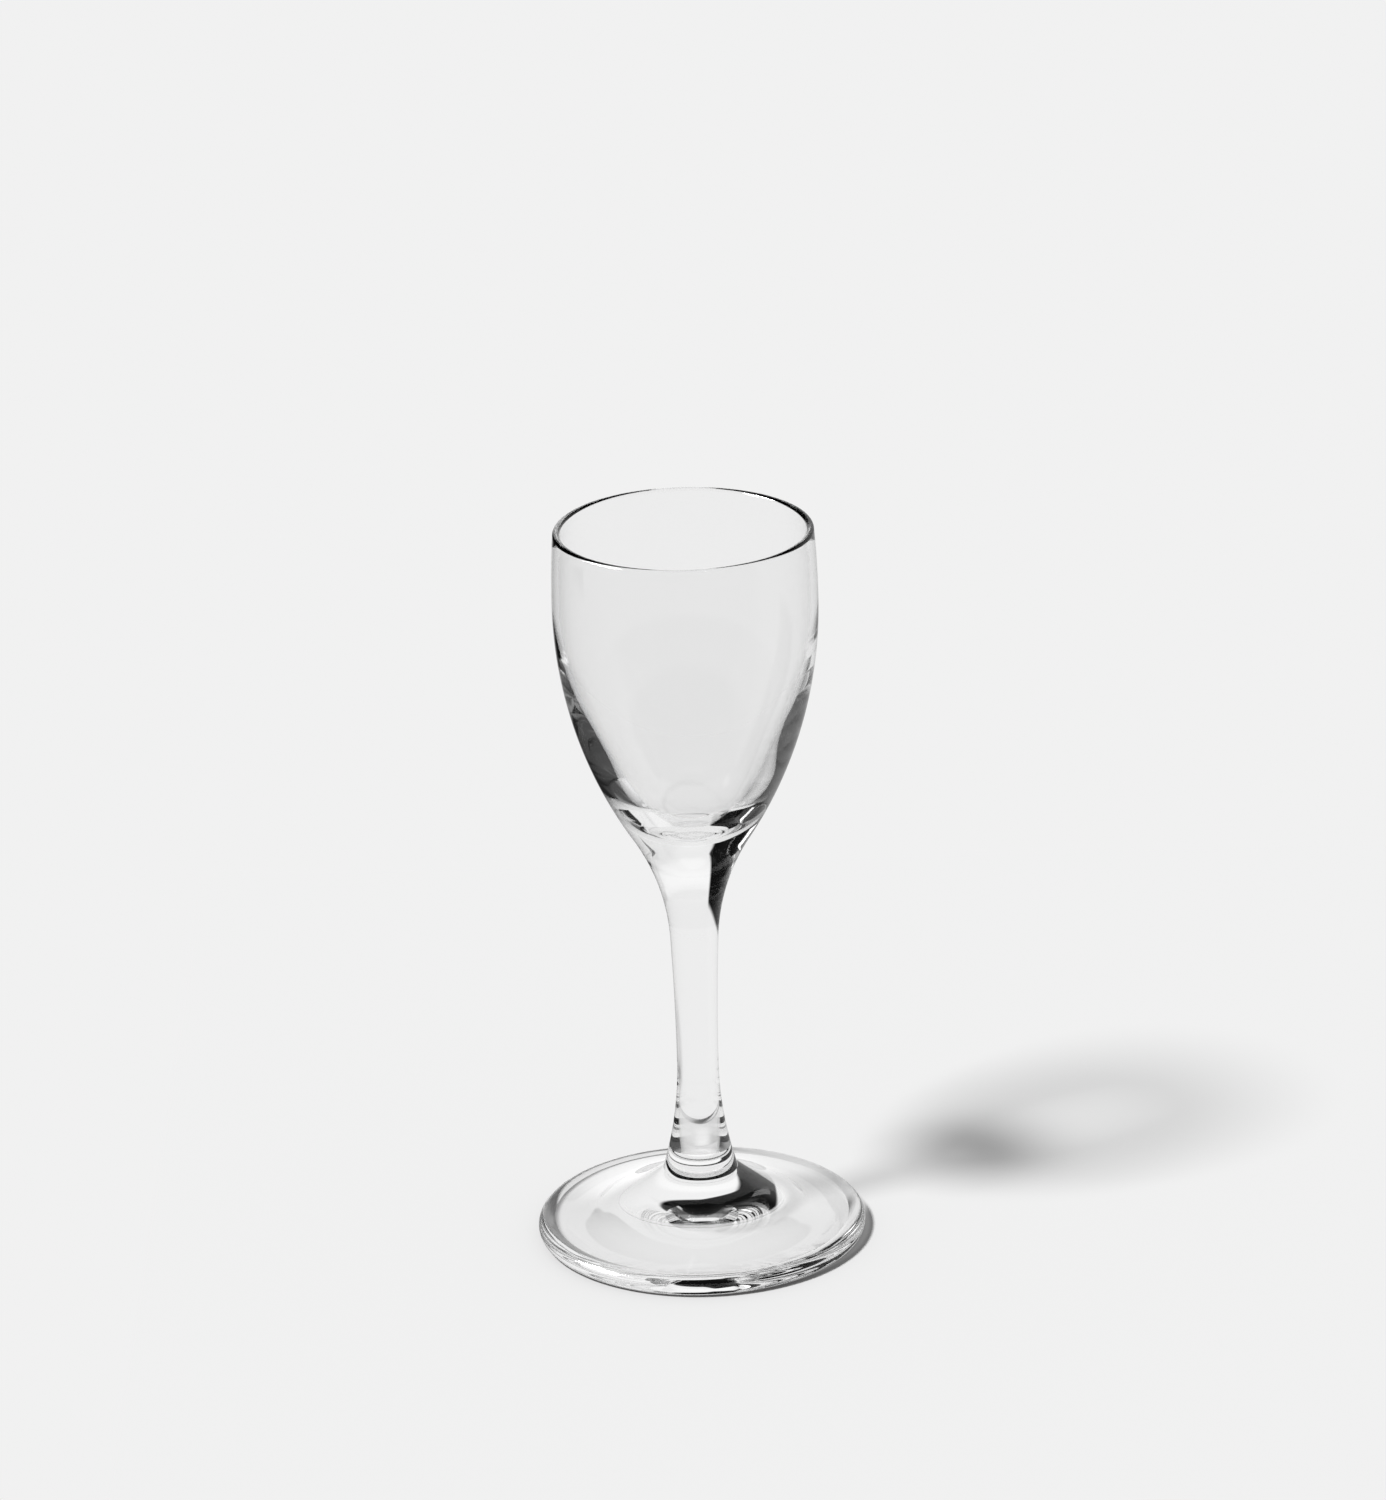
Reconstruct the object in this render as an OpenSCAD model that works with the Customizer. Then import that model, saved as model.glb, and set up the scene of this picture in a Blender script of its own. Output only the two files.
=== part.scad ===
// Cordial glass: a small stemmed glass of clear glass, made of three gathers joined hot.
// The bowl stands on the drawn stem and the stem on the foot, each on a flat seam.
// Sizes are in millimetres. +Z is up, the axis of the glass is Z and the table is z = 0.

/* [Whole glass] */
// Height from the table to the top of the lip
height = 120; // [112:1:130]

/* [Bowl] */
// Widest outside diameter
bowl_d = 41.8; // [38:0.1:46]
// Distance of the widest ring below the top of the lip
belly_drop = 12.3; // [9:0.1:15]
// Radius of the outside curve below the widest ring
bowl_side_r = 72; // [66:0.5:80]
// Radius of the outside curve from the widest ring up to the lip
lip_side_r = 153; // [90:1:220]
// Diameter of the seam between the bowl and the stem
seam_d = 13.8; // [11:0.1:16]
// Wall thickness from the lip down to the widest ring
wall = 1.15; // [0.8:0.05:1.8]
// Inside depth, from the top of the lip to the inside bottom
bowl_depth = 49; // [45:0.1:53]
// Radius of the rounded inside bottom
well_r = 9; // [3:0.5:12]

/* [Stem] */
// Diameter at the waist, the thinnest place
stem_d = 6.65; // [5.5:0.05:8]
// Height of the waist above the seam between the stem and the foot
waist_h = 18.3; // [14:0.1:24]
// Radius of the long side curve above the waist
stem_side_r = 450; // [350:10:600]
// Radius of the flare under the bowl
neck_r = 36; // [28:0.5:42]

/* [Foot] */
// Outside diameter
foot_d = 52.9; // [48:0.1:60]
// Height of the crown, where the stem stands
foot_h = 11.2; // [9.5:0.1:13]
// Diameter of the crown, and of the stem that stands on it
crown_d = 12; // [10:0.1:14]
// Radius of the sweep from the crown out to the rim
sweep_r = 34; // [20:0.5:50]
// Thickness of the rounded rim
rim_t = 3.4; // [2.6:0.1:4.2]
// Height of the rim above the web beside it
rim_step = 0.3; // [0.15:0.05:0.6]
// Width of the flat ring that the glass rests on
rest_w = 3; // [1:0.1:5]
// Rise of the hollow underside at the middle
hollow_h = 3.8; // [1:0.1:5]
// Radius of the curve that leads from the flat ring up into the hollow
hollow_edge_r = 16; // [6:0.5:24]

/* [Hidden] */

// Largest distance from a curve to a chord of it
sag = 0.01;
$fn = 96;

// Bowl, outside
bowl_r = bowl_d / 2;
belly_z = height - belly_drop;
side_c = [bowl_r - bowl_side_r, belly_z];
lip_c = [bowl_r - lip_side_r, belly_z];

// Lip, a half round between the outside and the inside of the wall
lip_r = wall / 2;
lip_a = asin((belly_drop - lip_r) / (lip_side_r - lip_r));
lip_round_c = on_circle(lip_c, lip_side_r - lip_r, lip_a);

// Bowl, inside: one side curve that runs into the rounded bottom
inside_r = bowl_r - wall;
well_c = [0, height - bowl_depth + well_r];
well_drop = belly_z - well_c.y;
inside_side_r = (inside_r ^ 2 + well_drop ^ 2 - well_r ^ 2) / (2 * (inside_r - well_r));
inside_c = [inside_r - inside_side_r, belly_z];
well_a = direction(inside_c, well_c);

// Stem, from the foot up to the waist and on towards the bowl
waist_r = stem_d / 2;
waist_z = foot_h + waist_h;
ankle_flare = crown_d / 2 - waist_r;
ankle_r = (waist_h ^ 2 + ankle_flare ^ 2) / (2 * ankle_flare);
ankle_c = [waist_r + ankle_r, waist_z];
long_c = [waist_r + stem_side_r, waist_z];

// Neck flare, tangent to the bowl's side and to the long side of the stem
neck_c = outer_point(side_c, bowl_side_r + neck_r, long_c, stem_side_r - neck_r);
neck_low_a = direction(long_c, neck_c);
neck_high_a = direction(neck_c, side_c);
seam_r = seam_d / 2;
seam_a = 180 - acos((neck_c.x - seam_r) / neck_r);
seam_z = on_circle(neck_c, neck_r, seam_a).y;

// Foot, rounded rim and swept top
bead_r = rim_t / 2;
bead_c = [foot_d / 2 - bead_r, bead_r];
web_a = 90 + acos(1 - rim_step / bead_r);
web_edge = on_circle(bead_c, bead_r, web_a);
crown_edge = [crown_d / 2, foot_h];
sweep_c = above_chord(crown_edge, web_edge, sweep_r);

// Foot, hollow underside: a dome that runs into the curve beside the flat ring
rest_in_r = bead_c.x - rest_w;
dome_and_edge_r = (rest_in_r ^ 2 + hollow_h ^ 2) / (2 * hollow_h);
dome_r = dome_and_edge_r - hollow_edge_r;
dome_c = [0, hollow_h - dome_r];
hollow_edge_c = [rest_in_r, hollow_edge_r];
hollow_a = asin(rest_in_r / dome_and_edge_r);

// Point of a circle at an angle
function on_circle(c, r, a) = c + r * [cos(a), sin(a)];

// Angle of the line from p to q, from 0 up to 360
function direction(p, q) = (atan2(q.y - p.y, q.x - p.x) + 360) % 360;

// Points along an arc from one angle up to just before another, so that arcs follow on
function arc(c, r, from, to) =
    let (steps = max(2, ceil(abs(to - from) / (2 * acos(1 - sag / r)))))
    [for (i = [0 : steps - 1]) on_circle(c, r, from + (to - from) * i / steps)];

// The lower of the two points at distance r from p and s from q
function outer_point(p, r, q, s) =
    let (span = norm(q - p))
    let (along = (span ^ 2 + r ^ 2 - s ^ 2) / (2 * span))
    let (across = sqrt(r ^ 2 - along ^ 2))
    let (u = (q - p) / span)
    p + along * u + across * [u.y, -u.x];

// Centre of the arc of radius r from p to q, on the left of the way from p to q
function above_chord(p, q, r) =
    let (half = norm(q - p) / 2)
    let (u = (q - p) / (2 * half))
    (p + q) / 2 + sqrt(r ^ 2 - half ^ 2) * [-u.y, u.x];

module revolve(outline) {
    rotate_extrude()
        polygon(outline);
}

// Thin-walled bowl with a fire-polished lip and a heavy rounded bottom
module bowl() {
    color("aliceblue", 0.4)
        revolve(concat(
            [[0, seam_z]],
            arc(neck_c, neck_r, seam_a, neck_high_a),
            arc(side_c, bowl_side_r, neck_high_a - 180, 0),
            arc(lip_c, lip_side_r, 0, lip_a),
            arc(lip_round_c, lip_r, lip_a, lip_a + 180),
            arc(lip_c, lip_side_r - wall, lip_a, 0),
            arc(inside_c, inside_side_r, 0, well_a - 360),
            arc(well_c, well_r, well_a - 360, -90),
            [[0, well_c.y - well_r]]
        ));
}

// Drawn solid stem, flared at both ends
module stem() {
    ankle_a = direction(ankle_c, crown_edge);
    color("aliceblue", 0.5)
        revolve(concat(
            [[0, foot_h]],
            arc(ankle_c, ankle_r, ankle_a, 180),
            arc(long_c, stem_side_r, 180, neck_low_a),
            arc(neck_c, neck_r, neck_low_a, seam_a),
            [[seam_r, seam_z], [0, seam_z]]
        ));
}

// Foot with a swept top, a rounded rim and a hollow underside
module foot() {
    color("aliceblue", 0.6)
        revolve(concat(
            arc(dome_c, dome_r, 90, 90 - hollow_a),
            arc(hollow_edge_c, hollow_edge_r, 270 - hollow_a, 270),
            [[rest_in_r, 0]],
            arc(bead_c, bead_r, -90, web_a),
            arc(sweep_c, sweep_r, direction(sweep_c, web_edge), direction(sweep_c, crown_edge)),
            [crown_edge, [0, foot_h]]
        ));
}

bowl();
stem();
foot();
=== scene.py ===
import math
from collections import namedtuple

import bpy
import numpy as np
from mathutils import Matrix, Vector


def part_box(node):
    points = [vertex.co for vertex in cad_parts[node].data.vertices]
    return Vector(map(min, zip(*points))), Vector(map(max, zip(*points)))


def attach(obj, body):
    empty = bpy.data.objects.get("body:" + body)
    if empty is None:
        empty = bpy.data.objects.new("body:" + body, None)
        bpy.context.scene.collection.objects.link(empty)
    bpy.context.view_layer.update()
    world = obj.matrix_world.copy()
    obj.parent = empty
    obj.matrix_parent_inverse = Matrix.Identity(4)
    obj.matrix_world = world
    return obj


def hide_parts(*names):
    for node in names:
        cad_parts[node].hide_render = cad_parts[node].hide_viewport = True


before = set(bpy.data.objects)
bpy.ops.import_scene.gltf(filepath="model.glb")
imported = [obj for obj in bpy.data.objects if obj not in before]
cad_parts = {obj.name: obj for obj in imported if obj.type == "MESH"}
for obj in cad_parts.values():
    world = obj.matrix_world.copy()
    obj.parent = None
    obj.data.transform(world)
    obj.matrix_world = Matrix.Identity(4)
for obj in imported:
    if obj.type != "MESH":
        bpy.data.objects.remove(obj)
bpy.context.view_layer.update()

# Cordial glass: a thin bowl, a solid drawn stem and a foot with a rounded rim, turned from outlines
# of tangent arcs. Outlines are in millimetres as (distance from the axis, height above the table).
# +X is the right of the glass, -Y its front and +Z up. Azimuths go from +X towards +Y.
MM = 0.001

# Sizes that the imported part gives
_, bowl_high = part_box("bowl")
_, stem_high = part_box("stem")
_, foot_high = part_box("foot")
height = bowl_high[2] / MM
bowl_r = bowl_high[0] / MM
seam_r = stem_high[0] / MM
foot_r = foot_high[0] / MM
foot_h = foot_high[2] / MM

# Bowl, sizes that only its outline gives
BELLY_DROP = 12.3  # widest ring below the top of the lip
BOWL_SIDE_R = 72.0  # outside curve below the widest ring
LIP_SIDE_R = 153.0  # outside curve from the widest ring up to the lip
WALL = 1.15
BOWL_DEPTH = 49.0
WELL_R = 9.0  # rounded inside bottom

# Bowl, uneven inside, as in worked glass: below FULL_START it grows fuller down to FULL_END, by a share
# of the way from the round outline to a fuller one. The share is larger on the right.
FULL_DEPTH = 49.5
FULL_WELL_R = 12.0
FULL_START = 92.0
FULL_END = 74.0
FULL_SHARE = 0.64
FULL_LEAN = 0.0123  # growth of the share for each millimetre to the right

# Stem
STEM_D = 6.65  # at the waist, the thinnest place
WAIST_H = 18.3  # waist above the foot
STEM_SIDE_R = 450.0  # long side above the waist
NECK_R = 36.0  # flare under the bowl

# Foot
CROWN_D = 12.0  # where the stem stands
SWEEP_R = 34.0  # top, from the crown out to the rim
RIM_T = 3.4
RIM_STEP = 0.3  # rim above the web beside it
REST_W = 3.0  # flat ring that the glass rests on
HOLLOW_H = 3.8  # rise of the hollow underside
HOLLOW_EDGE_R = 16.0  # curve from the flat ring up into the hollow

# Fineness of the meshes: degrees between the points of an arc, and points round a turned piece
ARC_STEP = 1.0
LARGE_ARC_STEP = 0.5
LONG_SIDE_STEP = 0.3
RIM_ARC_STEP = 3.0
LIP_ARC_STEP = 5.0
FEWEST_STEPS = 6
SIDE_POINTS = 90
WELL_POINTS = 40
TURNS = 256
SHARP_ANGLE = 7.0


# Geometry of the outlines
def on_circle(centre, radius, angle):
    """Point of a circle at an angle in degrees."""
    a = math.radians(angle)
    return np.array(centre) + radius * np.array([math.cos(a), math.sin(a)])


def direction(p, q):
    """Angle of the line from p to q in degrees, from 0 up to 360."""
    return math.degrees(math.atan2(q[1] - p[1], q[0] - p[0])) % 360


def arc_points(centre, radius, start, end, count):
    """A number of points along an arc from one angle to just before another, so that arcs follow on."""
    return [on_circle(centre, radius, start + (end - start) * i / count) for i in range(count)]


def arc(centre, radius, start, end, step=ARC_STEP):
    """Points along an arc, a step or less apart."""
    count = max(FEWEST_STEPS, math.ceil(abs(end - start) / step))
    return arc_points(centre, radius, start, end, count)


def outer_point(p, r, q, s):
    """The lower of the two points at distance r from p and s from q."""
    p, q = np.array(p), np.array(q)
    span = np.linalg.norm(q - p)
    along = (span**2 + r**2 - s**2) / (2 * span)
    across = math.sqrt(r**2 - along**2)
    u = (q - p) / span
    return p + along * u + across * np.array([u[1], -u[0]])


def above_chord(p, q, r):
    """Centre of the arc of radius r from p to q, on the left of the way from p to q."""
    p, q = np.array(p), np.array(q)
    half = np.linalg.norm(q - p) / 2
    u = (q - p) / (2 * half)
    return (p + q) / 2 + math.sqrt(r**2 - half**2) * np.array([-u[1], u[0]])


# Places on the bowl
belly_z = height - BELLY_DROP
side_c = (bowl_r - BOWL_SIDE_R, belly_z)
lip_c = (bowl_r - LIP_SIDE_R, belly_z)
lip_r = WALL / 2
lip_a = math.degrees(math.asin((BELLY_DROP - lip_r) / (LIP_SIDE_R - lip_r)))
lip_round_c = on_circle(lip_c, LIP_SIDE_R - lip_r, lip_a)
inside_r = bowl_r - WALL
well_z = height - BOWL_DEPTH - FULL_SHARE * (FULL_DEPTH - BOWL_DEPTH)

# Places on the stem
waist_r = STEM_D / 2
waist_z = foot_h + WAIST_H
ankle_flare = CROWN_D / 2 - waist_r
ankle_r = (WAIST_H**2 + ankle_flare**2) / (2 * ankle_flare)
ankle_c = (waist_r + ankle_r, waist_z)
long_c = (waist_r + STEM_SIDE_R, waist_z)
neck_c = outer_point(side_c, BOWL_SIDE_R + NECK_R, long_c, STEM_SIDE_R - NECK_R)
neck_low_a = direction(long_c, neck_c)
neck_high_a = direction(neck_c, side_c)
seam_a = 180 - math.degrees(math.acos((neck_c[0] - seam_r) / NECK_R))
seam_z = on_circle(neck_c, NECK_R, seam_a)[1]

# Places on the foot
bead_r = RIM_T / 2
bead_c = (foot_r - bead_r, bead_r)
web_a = 90 + math.degrees(math.acos(1 - RIM_STEP / bead_r))
web_edge = on_circle(bead_c, bead_r, web_a)
crown_edge = (CROWN_D / 2, foot_h)
sweep_c = above_chord(crown_edge, web_edge, SWEEP_R)
rest_in_r = bead_c[0] - REST_W
dome_and_edge_r = (rest_in_r**2 + HOLLOW_H**2) / (2 * HOLLOW_H)
dome_r = dome_and_edge_r - HOLLOW_EDGE_R
dome_c = (0.0, HOLLOW_H - dome_r)
hollow_edge_c = (rest_in_r, HOLLOW_EDGE_R)
hollow_a = math.degrees(math.asin(rest_in_r / dome_and_edge_r))


def inside(depth, well_r):
    """Inside of the bowl from the widest ring down: a side curve that runs into a rounded bottom."""
    well_c = (0.0, height - depth + well_r)
    well_drop = belly_z - well_c[1]
    curve_r = (inside_r**2 + well_drop**2 - well_r**2) / (2 * (inside_r - well_r))
    curve_c = (inside_r - curve_r, belly_z)
    well_a = direction(curve_c, well_c) - 360
    side = arc_points(curve_c, curve_r, 0, well_a, SIDE_POINTS)
    well = arc_points(well_c, well_r, well_a, -90, WELL_POINTS)
    return side + well


# Outlines
bowl_outside = [
    (seam_r, seam_z),
    *arc(neck_c, NECK_R, seam_a, neck_high_a)[1:],
    *arc(side_c, BOWL_SIDE_R, neck_high_a - 180, 0, LARGE_ARC_STEP),
    *arc(lip_c, LIP_SIDE_R, 0, lip_a),
    *arc(lip_round_c, lip_r, lip_a, lip_a + 180, LIP_ARC_STEP),
    *arc(lip_c, LIP_SIDE_R - WALL, lip_a, 0),
]
round_outline = bowl_outside + inside(BOWL_DEPTH, WELL_R)
full_outline = bowl_outside + inside(FULL_DEPTH, FULL_WELL_R)
stem_outline = [
    *arc(ankle_c, ankle_r, direction(ankle_c, crown_edge), 180),
    *arc(long_c, STEM_SIDE_R, 180, neck_low_a, LONG_SIDE_STEP),
    *arc(neck_c, NECK_R, neck_low_a, seam_a),
    (seam_r, seam_z),
]
foot_outline = [
    *arc(dome_c, dome_r, 90, 90 - hollow_a, LARGE_ARC_STEP)[1:],
    *arc(hollow_edge_c, HOLLOW_EDGE_R, 270 - hollow_a, 270),
    (rest_in_r, 0.0),
    *arc(bead_c, bead_r, -90, web_a, RIM_ARC_STEP),
    *arc(sweep_c, SWEEP_R, direction(sweep_c, web_edge), direction(sweep_c, crown_edge)),
    crown_edge,
]

# Turned meshes
turns = np.linspace(0, 2 * math.pi, TURNS, endpoint=False)


def columns(outline):
    """Distances and heights of an outline's points, each as a column that spreads round the turns."""
    return np.array(outline).T[:, :, None]


def uneven_bowl():
    """Distances and heights of the bowl's rings, fuller low down in the inside."""
    r, z = columns(round_outline)
    full_r, full_z = columns(full_outline)
    depth = np.clip((FULL_START - z) / (FULL_START - FULL_END), 0, 1)
    share = depth**2 * (3 - 2 * depth) * (FULL_SHARE + FULL_LEAN * r * np.cos(turns))
    return r + share * (full_r - r), z + share * (full_z - z)


def revolve(name, rings, poles, seams, glass):
    """Mesh object of rings round Z, closed on the axis at both poles. The ends named in seams are fused."""
    r, z = rings
    x, y, z = np.broadcast_arrays(r * np.cos(turns), r * np.sin(turns), z)
    points = np.stack((x, y, z), axis=-1).reshape(-1, 3)
    axis_points = [(0, 0, pole) for pole in poles]
    verts = np.vstack((points, axis_points)) * MM
    start_pole = len(points)
    end_pole = start_pole + 1
    end_ring = start_pole - TURNS
    steps = [(j, (j + 1) % TURNS) for j in range(TURNS)]
    sides = [
        (ring + j, ring + k, ring + TURNS + k, ring + TURNS + j)
        for ring in range(0, end_ring, TURNS)
        for j, k in steps
    ]
    start_cap = [(start_pole, k, j) for j, k in steps]
    end_cap = [(end_pole, end_ring + j, end_ring + k) for j, k in steps]
    mesh = bpy.data.meshes.new(name)
    mesh.from_pydata(verts, [], sides + start_cap + end_cap)
    mesh.update()
    mesh.shade_smooth()
    mesh.set_sharp_from_angle(angle=math.radians(SHARP_ANGLE))
    mesh.materials.append(glass)
    mesh.materials.append(joint)
    slots = [0] * len(sides) + [int("start" in seams)] * TURNS + [int("end" in seams)] * TURNS
    mesh.polygons.foreach_set("material_index", slots)
    piece = bpy.data.objects.new(name, mesh)
    bpy.context.scene.collection.objects.link(piece)
    return piece


class Graph:
    """Short ways to add nodes to a node tree."""

    def __init__(self, tree):
        self.nodes = tree.nodes
        self.links = tree.links

    def put(self, socket, value):
        """Give an input a plain value or another node's output."""
        if isinstance(value, bpy.types.NodeSocket):
            self.links.new(value, socket)
        else:
            socket.default_value = value

    def split(self, vector):
        """The three parts of a vector."""
        node = self.nodes.new("ShaderNodeSeparateXYZ")
        self.put(node.inputs[0], vector)
        return node.outputs

    def maths(self, operation, *values):
        """Result of one sum."""
        node = self.nodes.new("ShaderNodeMath")
        node.operation = operation
        for socket, value in zip(node.inputs, values):
            self.put(socket, value)
        return node.outputs[0]

    def rise(self, value, start, end):
        """Smooth step from 0 at start to 1 at end."""
        node = self.nodes.new("ShaderNodeMapRange")
        node.interpolation_type = "SMOOTHSTEP"
        self.put(node.inputs["Value"], value)
        self.put(node.inputs["From Min"], start)
        self.put(node.inputs["From Max"], end)
        return node.outputs["Result"]

    def band(self, value, low, high, soft):
        """1 between low and high, and 0 outside, with soft edges."""
        up = self.rise(value, low - soft / 2, low + soft / 2)
        down = self.rise(value, high + soft / 2, high - soft / 2)
        return self.maths("MULTIPLY", up, down)

    def mix(self, share, a, b):
        """a where the share is 0, b where it is 1."""
        node = self.nodes.new("ShaderNodeMix")
        self.put(node.inputs[0], share)
        self.put(node.inputs[2], a)
        self.put(node.inputs[3], b)
        return node.outputs[0]


# Glass surface
IOR = 1.5
MIRROR_SHARE = 0.6  # share of the mirrored light that is kept
EDGE_POWER = 4.5  # how late the painted shade of the edges sets in
WAVE_SCALE = 90.0  # waves in a metre
GATHER = (58 * MM, 70 * MM, 8 * MM)  # low end, high end and soft edge of the wavier gather

# Light that the glass lets through to the floor, as shares for each surface that it crosses.
# Heights are given as low end, high end and soft edge, or as start and end of a change.
GRAZE_POWER = 2.0  # how late the tint of slanting light sets in
UPPER_WALL = (82 * MM, 92 * MM)
LOWER_FACING = 0.975
LOWER_SLANTING = 0.72
UPPER_FACING = 0.88
UPPER_SLANTING = 0.7
BOTTOM = (61 * MM, 74 * MM, 4 * MM)
BOTTOM_CLEAR = 0.6
DARK_CORE = (63.5 * MM, 70.5 * MM, 3 * MM)
DARK_CORE_CLEAR = 0.38
SHAFT = (6 * MM, 60 * MM, 4 * MM)
SHAFT_CLEAR = 0.8
WEB = (13 * MM, 10 * MM)
WEB_CLEAR = 0.995

# The rim lets little through, apart from its back right, which throws light on the floor
RIM_FULL = 0.6  # place on the bead where the rim's tint is full, as a share of its radius in from the edge
RIM = ((foot_r - bead_r) * MM, (foot_r - RIM_FULL * bead_r) * MM)
RIM_TOP = (2 * RIM_T * MM, RIM_T * MM)
RIM_CLEAR = 0.18
LIT_RIM_CLEAR = 0.8
LIT_RIM_X = (-4 * MM, 8 * MM)
LIT_RIM_Y = (3 * MM, 8 * MM)


def let_through(graph, place, facing):
    """Share of the light that goes on to the floor, less where the glass is thick."""
    x, y, z = graph.split(place)
    graze = graph.maths("POWER", facing, GRAZE_POWER)
    upper = graph.rise(z, *UPPER_WALL)
    straight = graph.mix(upper, LOWER_FACING, UPPER_FACING)
    slanting = graph.mix(upper, LOWER_SLANTING, UPPER_SLANTING)
    clear = graph.mix(graze, straight, slanting)
    clear = graph.mix(graph.band(z, *BOTTOM), clear, BOTTOM_CLEAR)
    clear = graph.mix(graph.band(z, *DARK_CORE), clear, DARK_CORE_CLEAR)
    clear = graph.mix(graph.band(z, *SHAFT), clear, SHAFT_CLEAR)
    clear = graph.mix(graph.rise(z, *WEB), clear, WEB_CLEAR)
    squares = graph.maths("ADD", graph.maths("MULTIPLY", x, x), graph.maths("MULTIPLY", y, y))
    away = graph.maths("SQRT", squares)
    rim = graph.maths("MULTIPLY", graph.rise(away, *RIM), graph.rise(z, *RIM_TOP))
    lit = graph.maths("MULTIPLY", graph.rise(x, *LIT_RIM_X), graph.rise(y, *LIT_RIM_Y))
    return graph.mix(rim, clear, graph.mix(lit, RIM_CLEAR, LIT_RIM_CLEAR))


def wavy(graph, place, wave, gather_wave):
    """Normal of a slightly wavy surface, with other waves at the gather under the bowl."""
    noise = graph.nodes.new("ShaderNodeTexNoise")
    graph.put(noise.inputs["Vector"], place)
    noise.inputs["Scale"].default_value = WAVE_SCALE
    noise.inputs["Detail"].default_value = 0.0
    gather = graph.band(graph.split(place)["Z"], *GATHER)
    bump = graph.nodes.new("ShaderNodeBump")
    depth = graph.mix(gather, wave, gather_wave)
    graph.put(bump.inputs["Height"], graph.maths("MULTIPLY", noise.outputs[0], depth))
    bump.inputs["Distance"].default_value = MM
    return bump.outputs[0]


def make_glass(name, tint, painted_edge_shade, wave, gather_wave):
    """Clear glass, with painted shade where it is seen edge-on. Lamps and light from the floor pass
    straight through, less where it is thick.
    """
    mat = bpy.data.materials.new(name)
    mat.use_nodes = True
    graph = Graph(mat.node_tree)
    nodes = graph.nodes
    place = nodes.new("ShaderNodeTexCoord").outputs["Object"]
    layer = nodes.new("ShaderNodeLayerWeight")
    layer.inputs["Blend"].default_value = 0.5
    facing = layer.outputs["Facing"]

    shader = nodes["Principled BSDF"]
    shader.inputs["Specular Tint"].default_value = (MIRROR_SHARE, MIRROR_SHARE, MIRROR_SHARE, 1)
    shader.inputs["Roughness"].default_value = 0.0
    shader.inputs["IOR"].default_value = IOR
    shader.inputs["Transmission Weight"].default_value = 1.0
    # The base colour darkens where the glass is seen edge-on: painted shade for the dark room that slanting
    # glass mirrors.
    edge = graph.maths("POWER", facing, EDGE_POWER)
    graph.put(shader.inputs["Base Color"], graph.mix(edge, tint, painted_edge_shade))
    graph.put(shader.inputs["Normal"], wavy(graph, place, wave, gather_wave))

    clear = nodes.new("ShaderNodeBsdfTransparent")
    graph.put(clear.inputs["Color"], let_through(graph, place, facing))
    path = nodes.new("ShaderNodeLightPath")
    shown = shader.outputs[0]
    for ray in ("Is Diffuse Ray", "Is Shadow Ray"):
        mix = nodes.new("ShaderNodeMixShader")
        graph.put(mix.inputs[0], path.outputs[ray])
        graph.put(mix.inputs[1], shown)
        graph.put(mix.inputs[2], clear.outputs[0])
        shown = mix.outputs[0]
    graph.put(nodes["Material Output"].inputs["Surface"], shown)
    return mat


def make_joint():
    """Seam of two fused pieces, which light crosses as if the glass went on."""
    mat = bpy.data.materials.new("fused_seam")
    mat.use_nodes = True
    graph = Graph(mat.node_tree)
    clear = graph.nodes.new("ShaderNodeBsdfTransparent")
    graph.put(graph.nodes["Material Output"].inputs["Surface"], clear.outputs[0])
    return mat


# Pieces
# The bowl's glass is a darker copy of the same clear glass: its greyer tint and darker edges are painted
# shade for the light that its thin walls mirror away.
bowl_glass = make_glass("bowl_glass", tint=0.96, painted_edge_shade=0.5, wave=0.001, gather_wave=0.06)
body_glass = make_glass("clear_glass", tint=0.99, painted_edge_shade=0.9, wave=0.0, gather_wave=0.04)
joint = make_joint()
bowl = revolve("cordial_bowl", uneven_bowl(), (seam_z, well_z), {"start"}, bowl_glass)
stem = revolve("cordial_stem", columns(stem_outline), (foot_h, seam_z), {"start", "end"}, body_glass)
foot = revolve("cordial_foot", columns(foot_outline), (HOLLOW_H, foot_h), {"end"}, body_glass)
for piece, node in ((bowl, "bowl"), (stem, "stem"), (foot, "foot")):
    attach(piece, "root")
    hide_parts(node)

# Light levels: the floor and the background come out as PALE
PALE = 0.879
PAPER = 0.8
AMBIENT = 0.25

# Floor, a sheet of paper that takes the shadow, with a thin gap of air under the foot
FLOOR_CENTRE = (40.0, 30.0)
FLOOR_HALF = 130.0
FLOOR_GAP = 0.05
corners = [
    (FLOOR_CENTRE[0] + FLOOR_HALF * i, FLOOR_CENTRE[1] + FLOOR_HALF * j, -FLOOR_GAP)
    for i, j in ((-1, -1), (1, -1), (1, 1), (-1, 1))
]
floor_mesh = bpy.data.meshes.new("floor")
floor_mesh.from_pydata(np.array(corners) * MM, [], [(0, 1, 2, 3)])
floor = bpy.data.objects.new("floor", floor_mesh)
bpy.context.scene.collection.objects.link(floor)
paper = bpy.data.materials.new("paper")
paper.use_nodes = True
paper_shader = paper.node_tree.nodes["Principled BSDF"]
paper_shader.inputs["Base Color"].default_value = (PAPER, PAPER, PAPER, 1)
paper_shader.inputs["Roughness"].default_value = 1.0
paper_shader.inputs["Specular IOR Level"].default_value = 0.0
floor_mesh.materials.append(paper)
floor.visible_glossy = False

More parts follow.
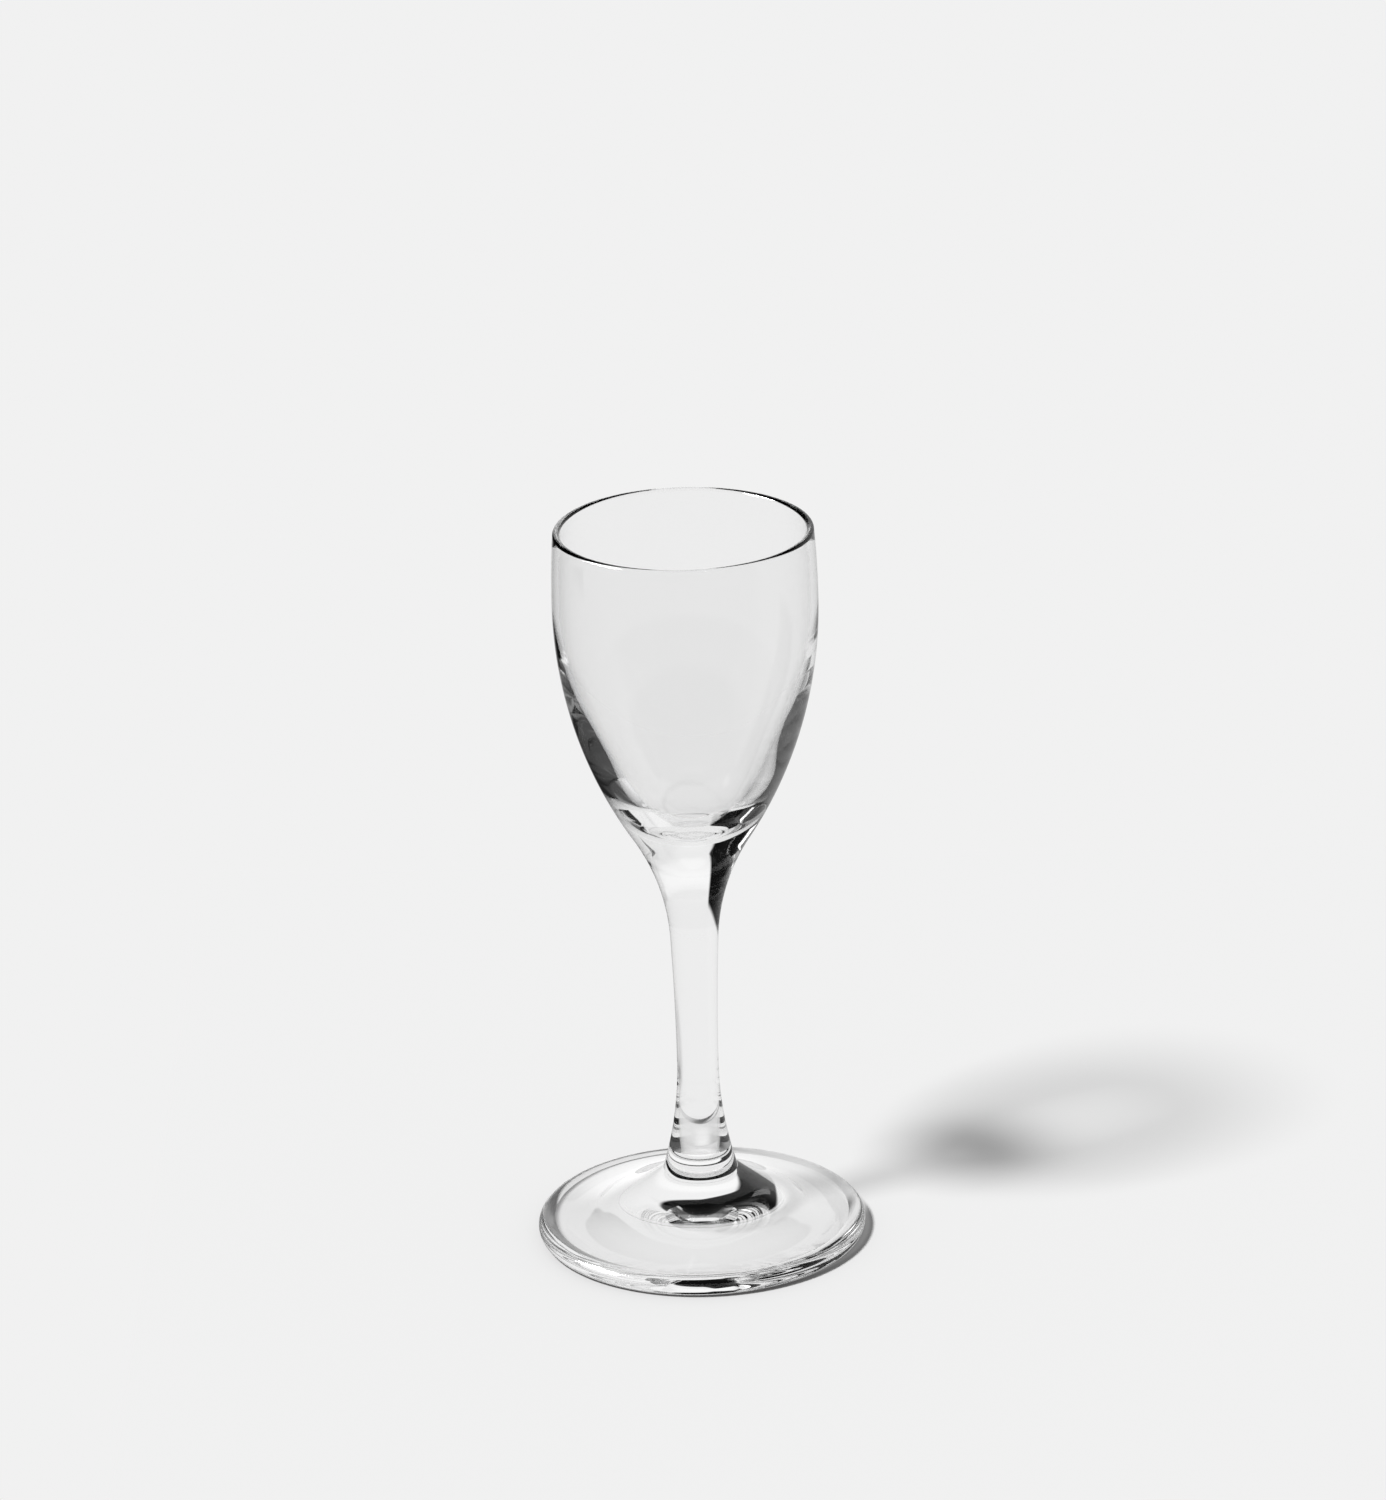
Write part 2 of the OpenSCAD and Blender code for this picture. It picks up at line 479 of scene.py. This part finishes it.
# Key light, a soft lamp on the front left that shines towards the back right. The glass shows the studio's
# lamp cards in its place.
KEY_AZIMUTH = 32.0
KEY_ELEVATION = 54.0
KEY_SPREAD = 9.5
azimuth = math.radians(KEY_AZIMUTH)
elevation = math.radians(KEY_ELEVATION)
across = math.cos(elevation)
beam = Vector((math.cos(azimuth) * across, math.sin(azimuth) * across, -math.sin(elevation)))
sun = bpy.data.lights.new("key", "SUN")
sun.energy = math.pi * (PALE / PAPER - AMBIENT) / math.sin(elevation)
sun.angle = math.radians(KEY_SPREAD)
key = bpy.data.objects.new("key", sun)
bpy.context.scene.collection.objects.link(key)
key.visible_glossy = False
key.visible_transmission = False
key.rotation_mode = "QUATERNION"
key.rotation_quaternion = beam.to_track_quat("-Z", "Y")

# Studio round the glass, made of cards that lie over one another. Each has a level of light, its ends in
# azimuth and elevation and the softness of its edges in degrees. A card can lean, by degrees of azimuth for
# each degree of elevation, and can be cut off below by the slope of the flag.
Card = namedtuple("Card", "level azimuths elevations soft lean sloped", defaults=(0.0, False))
ALL_ROUND = (-190, 190)
ZENITH = 120  # past straight up, so that a card has no upper edge
FLAG_SLOPE = 0.3
FLAG_SOFT = 0.03
HORIZON_SOFT = 2.0

# What shows through the glass above the table
ROOM = 0.72
WALLS = (
    Card(0.95, (-12, 46), (4, 46), 8),  # pale wall on the right
    Card(PALE, (48, 112), (-20, 34), 14),  # backdrop
    Card(0.92, (48, 112), (6, 60), 8),  # backdrop, upper part
    Card(1.0, (48, 112), (0, 16), 8),  # backdrop, bright lower part
    Card(0.42, (132, 225), (-20, 60), 8),  # grey wall on the left
    Card(0.06, (145, 214), (17, 60), 5),  # dark upper part of that wall
    Card(0.3, (218, 345), (-20, 60), 14),  # grey room in front
    Card(0.085, (226, 334), (-20, 36), 8),  # dark middle of that room
    Card(0.02, (212, 266), (-20, 10), 5),  # black low down on the front left
    Card(0.02, (256, 338), (-20, 18), 4),  # black low down on the front right
)

# What shows through the glass in front of those walls and of the table
FLAGS = (
    Card(0.02, (-11, 7), (12, 33), 3),  # black strip on the right
    Card(0.004, (109, 165), (-25, 60), 3, 0.25, True),  # black flag behind, on the left
    Card(0.004, (136, 190), (16, 60), 3, 1.5),  # black flag on the left
    Card(0.004, (45, 140), (30.5, ZENITH), 2.5),  # black above the backdrop
    Card(0.004, ALL_ROUND, (58, ZENITH), 4),  # black ceiling
    Card(0.9, (240, 300), (48, 66), 4),  # pale card over the camera
    Card(0.02, (218, 232), (2, 22), 3),  # black strip on the front left
    Card(2.0, (150, 171), (23, 32), 2),  # lamp on the left
)

# What the surface of the glass mirrors
DARK_ROOM = 0.015
MIRRORED_CARDS = (
    Card(0.5, (-25, 100), (-40, 30), 14),  # pale walls behind and on the right
    Card(1.3, (84, 106), (-18, 14), 16),  # bright lower part of the backdrop
    Card(60.0, (171, 207), (14, 46), 3),  # lamp on the left
)


def make_world():
    """Studio round the glass: pale for the camera, even for the floor, with cards for the glass."""
    world = bpy.data.worlds.new("studio")
    world.use_nodes = True
    graph = Graph(world.node_tree)
    nodes = graph.nodes
    x, y, z = graph.split(nodes.new("ShaderNodeTexCoord").outputs["Generated"])
    turn = graph.maths("ARCTAN2", y, x)
    climb = graph.maths("ARCSINE", z)
    slope = graph.maths("SUBTRACT", z, graph.maths("MULTIPLY", x, FLAG_SLOPE))

    def lay(card, under):
        """Level of light with a card laid over what is under it."""
        start, end = (math.radians(v) for v in card.azimuths)
        low, high = (math.radians(v) for v in card.elevations)
        soft = math.radians(card.soft)
        leant = graph.maths("ADD", turn, graph.maths("MULTIPLY", climb, card.lean))
        offset = graph.maths("SUBTRACT", leant, (start + end) / 2)
        offset = graph.maths("WRAP", offset, -math.pi, math.pi)
        wide = graph.band(offset, (start - end) / 2, (end - start) / 2, soft)
        share = graph.maths("MULTIPLY", wide, graph.band(climb, low, high, soft))
        if card.sloped:
            share = graph.maths("MULTIPLY", share, graph.rise(slope, -FLAG_SOFT, FLAG_SOFT))
        return graph.mix(share, under, card.level)

    level = ROOM
    for card in WALLS:
        level = lay(card, level)
    table = graph.rise(climb, 0.0, math.radians(-HORIZON_SOFT))
    level = graph.mix(table, level, PALE)
    for card in FLAGS:
        level = lay(card, level)
    mirrored = DARK_ROOM
    for card in MIRRORED_CARDS:
        mirrored = lay(card, mirrored)
    path = nodes.new("ShaderNodeLightPath")
    level = graph.mix(path.outputs["Is Transmission Ray"], mirrored, level)
    level = graph.mix(path.outputs["Is Diffuse Ray"], level, AMBIENT)
    level = graph.mix(path.outputs["Is Camera Ray"], level, PALE)
    graph.put(nodes["Background"].inputs["Color"], level)
    world.cycles.sampling_method = "NONE"
    return world


bpy.context.scene.world = make_world()

# Camera: place in millimetres, turns in degrees, and the focal length in pixels of the photo's long side
CAM_DISTANCE = 1012.7
CAM_HEIGHT = 467.9
CAM_PITCH = 20.813
CAM_YAW = 0.035
CAM_ROLL = -1.584
FOCAL_PX = 6867
LONG_SIDE_PX = 1500
SENSOR = 36
cam_data = bpy.data.cameras.new("camera")
cam_data.sensor_width = SENSOR
cam_data.lens = SENSOR * FOCAL_PX / LONG_SIDE_PX
cam = bpy.data.objects.new("camera", cam_data)
bpy.context.scene.collection.objects.link(cam)
pitch, yaw, roll = (math.radians(v) for v in (CAM_PITCH, CAM_YAW, CAM_ROLL))
ahead = Vector((math.sin(yaw) * math.cos(pitch), math.cos(yaw) * math.cos(pitch), -math.sin(pitch)))
level_right = Vector((math.cos(yaw), -math.sin(yaw), 0))
level_up = level_right.cross(ahead)
right = math.cos(roll) * level_right + math.sin(roll) * level_up
up = math.cos(roll) * level_up - math.sin(roll) * level_right
aim = Matrix((right, up, -ahead)).transposed().to_4x4()
cam.matrix_world = Matrix.Translation((0, -CAM_DISTANCE * MM, CAM_HEIGHT * MM)) @ aim
bpy.context.scene.camera = cam

# Picture: light may pass many surfaces of the glass
BOUNCES = 32
bpy.context.scene.view_settings.view_transform = "Standard"
bpy.context.scene.cycles.transmission_bounces = BOUNCES
bpy.context.scene.cycles.glossy_bounces = BOUNCES
bpy.context.scene.cycles.max_bounces = BOUNCES
